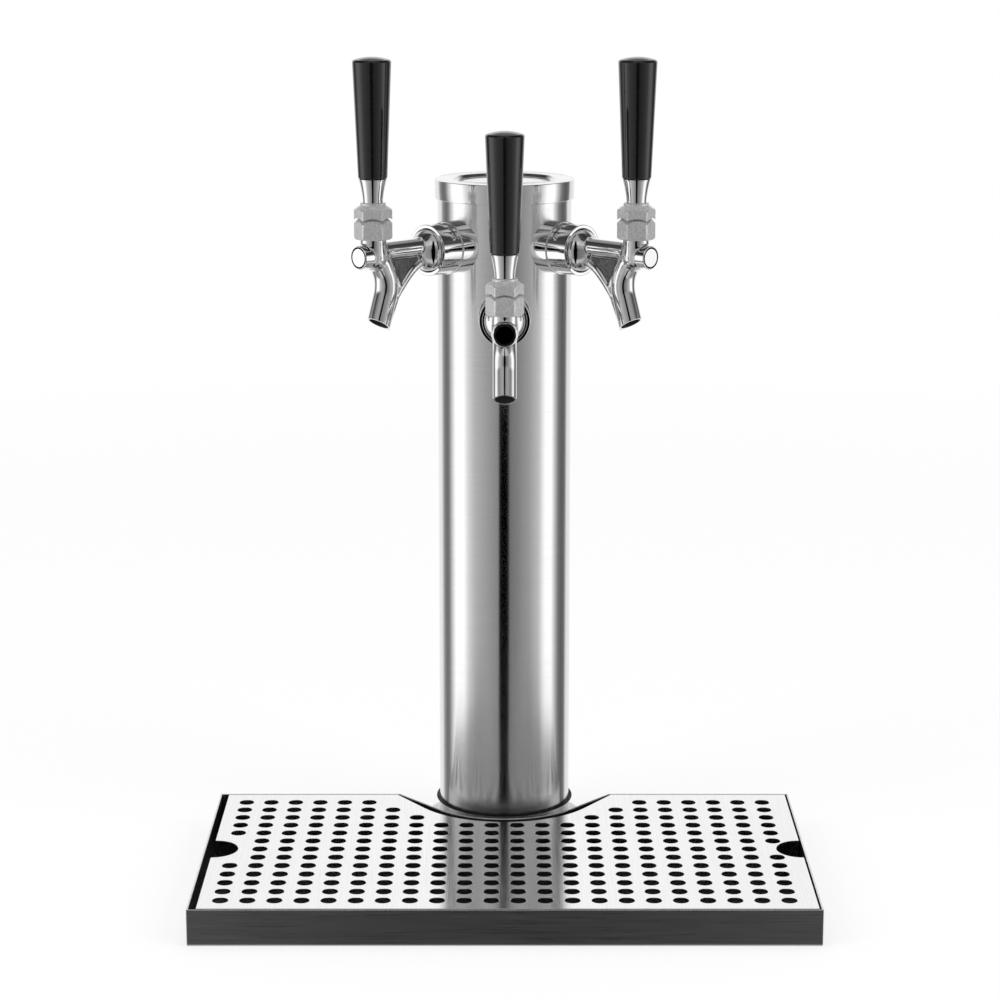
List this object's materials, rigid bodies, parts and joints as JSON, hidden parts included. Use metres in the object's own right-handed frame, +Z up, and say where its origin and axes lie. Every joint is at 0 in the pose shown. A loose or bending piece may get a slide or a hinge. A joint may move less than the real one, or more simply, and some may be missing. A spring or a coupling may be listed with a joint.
{
  "type": "draft beer tower",
  "caption": "Round steel column with swinging tap handles and rear-sealing faucets over a removable drip tray with a punched grille.",
  "frame": {"origin": "column axis at counter level, in the middle of the base's screw circle", "axes": "+Z up along the column, -Y towards the person who pours, +X to their right"},
  "size_m": [0.336, 0.243, 0.4571],
  "materials": {
    "black_rubber": "matt moulded rubber",
    "black_trim": "smooth black trim",
    "stainless_base": "brushed",
    "brushed_column": "fine vertical brush with a high shine",
    "brushed_cap": "brushed",
    "satin_pan": "dark satin sheet",
    "bright_grille": "bright brushed sheet",
    "polished_chrome": "mirror polish",
    "satin_chrome": "bead-blasted satin",
    "stainless_bar": "turned",
    "black_handle": "gloss",
    "brass": "turned",
    "nylon": "moulded",
    "foam": "closed-cell foam"
  },
  "bodies": {
    "tower": {"base_gasket": "black_rubber", "base_flange": "stainless_base", "trim_ring": "black_trim", "column_tube": "brushed_column", "insulation_sleeve": "foam", "inner_saddles": "nylon", "shank_locknuts": "brass", "front_faucet_body": "polished_chrome", "front_bonnet_collar": "satin_chrome", "front_ball_washer": "black_rubber", "front_coupling_nut": "polished_chrome", "front_coupling_washer": "black_rubber", "front_shank": "polished_chrome", "front_shank_flange": "polished_chrome", "front_tail_elbow": "brass", "left_faucet_body": "polished_chrome", "left_bonnet_collar": "satin_chrome", "left_ball_washer": "black_rubber", "left_coupling_nut": "polished_chrome", "left_coupling_washer": "black_rubber", "left_shank": "polished_chrome", "left_shank_flange": "polished_chrome", "left_tail_elbow": "brass", "right_faucet_body": "polished_chrome", "right_bonnet_collar": "satin_chrome", "right_ball_washer": "black_rubber", "right_coupling_nut": "polished_chrome", "right_coupling_washer": "black_rubber", "right_shank": "polished_chrome", "right_shank_flange": "polished_chrome", "right_tail_elbow": "brass"},
    "front_tap": {"front_lever": "stainless_bar", "front_lever_nut": "satin_chrome", "front_ferrule": "polished_chrome", "front_tap_handle": "black_handle"},
    "front_valve": {"front_plunger": "stainless_bar", "front_valve_washer": "black_rubber"},
    "left_tap": {"left_lever": "stainless_bar", "left_lever_nut": "satin_chrome", "left_ferrule": "polished_chrome", "left_tap_handle": "black_handle"},
    "left_valve": {"left_plunger": "stainless_bar", "left_valve_washer": "black_rubber"},
    "right_tap": {"right_lever": "stainless_bar", "right_lever_nut": "satin_chrome", "right_ferrule": "polished_chrome", "right_tap_handle": "black_handle"},
    "right_valve": {"right_plunger": "stainless_bar", "right_valve_washer": "black_rubber"},
    "cap": {"top_cap": "brushed_cap"},
    "pan": {"drip_pan": "satin_pan"},
    "grille": {"drip_grille": "bright_grille"}
  },
  "joints": [
    {"name": "front_tap_pull", "type": "hinge", "parent": "tower", "child": "front_tap", "pos_m": [0, -0.101, 0.323], "axis": [1, 0, 0], "range_deg": [0, 22]},
    {"name": "front_valve_slide", "type": "slide", "parent": "tower", "child": "front_valve", "axis": [0, 1, 0], "range_m": [0, 0.00316]},
    {"name": "left_tap_pull", "type": "hinge", "parent": "tower", "child": "left_tap", "pos_m": [-0.07142, -0.07142, 0.36], "axis": [0.7071, -0.7071, 0], "range_deg": [0, 22]},
    {"name": "left_valve_slide", "type": "slide", "parent": "tower", "child": "left_valve", "axis": [0.7071, 0.7071, 0], "range_m": [0, 0.00316]},
    {"name": "right_tap_pull", "type": "hinge", "parent": "tower", "child": "right_tap", "pos_m": [0.07142, -0.07142, 0.36], "axis": [0.7071, 0.7071, 0], "range_deg": [0, 22]},
    {"name": "right_valve_slide", "type": "slide", "parent": "tower", "child": "right_valve", "axis": [-0.7071, 0.7071, 0], "range_m": [0, 0.00316]},
    {"name": "cap_lift", "type": "slide", "parent": "tower", "child": "cap", "axis": [0, 0, 1], "range_m": [0, 0.05]},
    {"name": "tray_slide", "type": "slide", "parent": "tower", "child": "pan", "axis": [0, -1, 0], "range_m": [0, 0.12]},
    {"name": "grille_lift", "type": "slide", "parent": "pan", "child": "grille", "axis": [0, 0, 1], "range_m": [0, 0.1]}
  ],
  "couplings": [
    {"joint": "front_valve_slide", "follows": "front_tap_pull", "m_per_rad": 0.008195},
    {"joint": "left_valve_slide", "follows": "left_tap_pull", "m_per_rad": 0.008195},
    {"joint": "right_valve_slide", "follows": "right_tap_pull", "m_per_rad": 0.008195}
  ]
}
